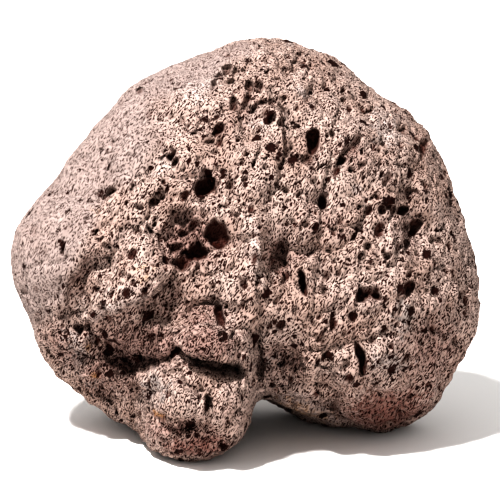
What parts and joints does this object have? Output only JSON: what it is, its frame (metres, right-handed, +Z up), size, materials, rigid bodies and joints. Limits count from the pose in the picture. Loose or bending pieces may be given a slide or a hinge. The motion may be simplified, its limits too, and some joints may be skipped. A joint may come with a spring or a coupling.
{
  "type": "pumice stone",
  "caption": "Rounded lump of pitted, frothy volcanic stone that stands on its lower lobes.",
  "frame": {"origin": "on the surface the stone rests on, under the middle of its box", "axes": "+Z up, +X to the right across the broad front face, -Y out of the front face"},
  "size_m": [0.1001, 0.0713, 0.0837],
  "materials": {
    "pumice": "matte"
  },
  "bodies": {
    "root": {"pumice_stone": "pumice"}
  },
  "joints": []
}
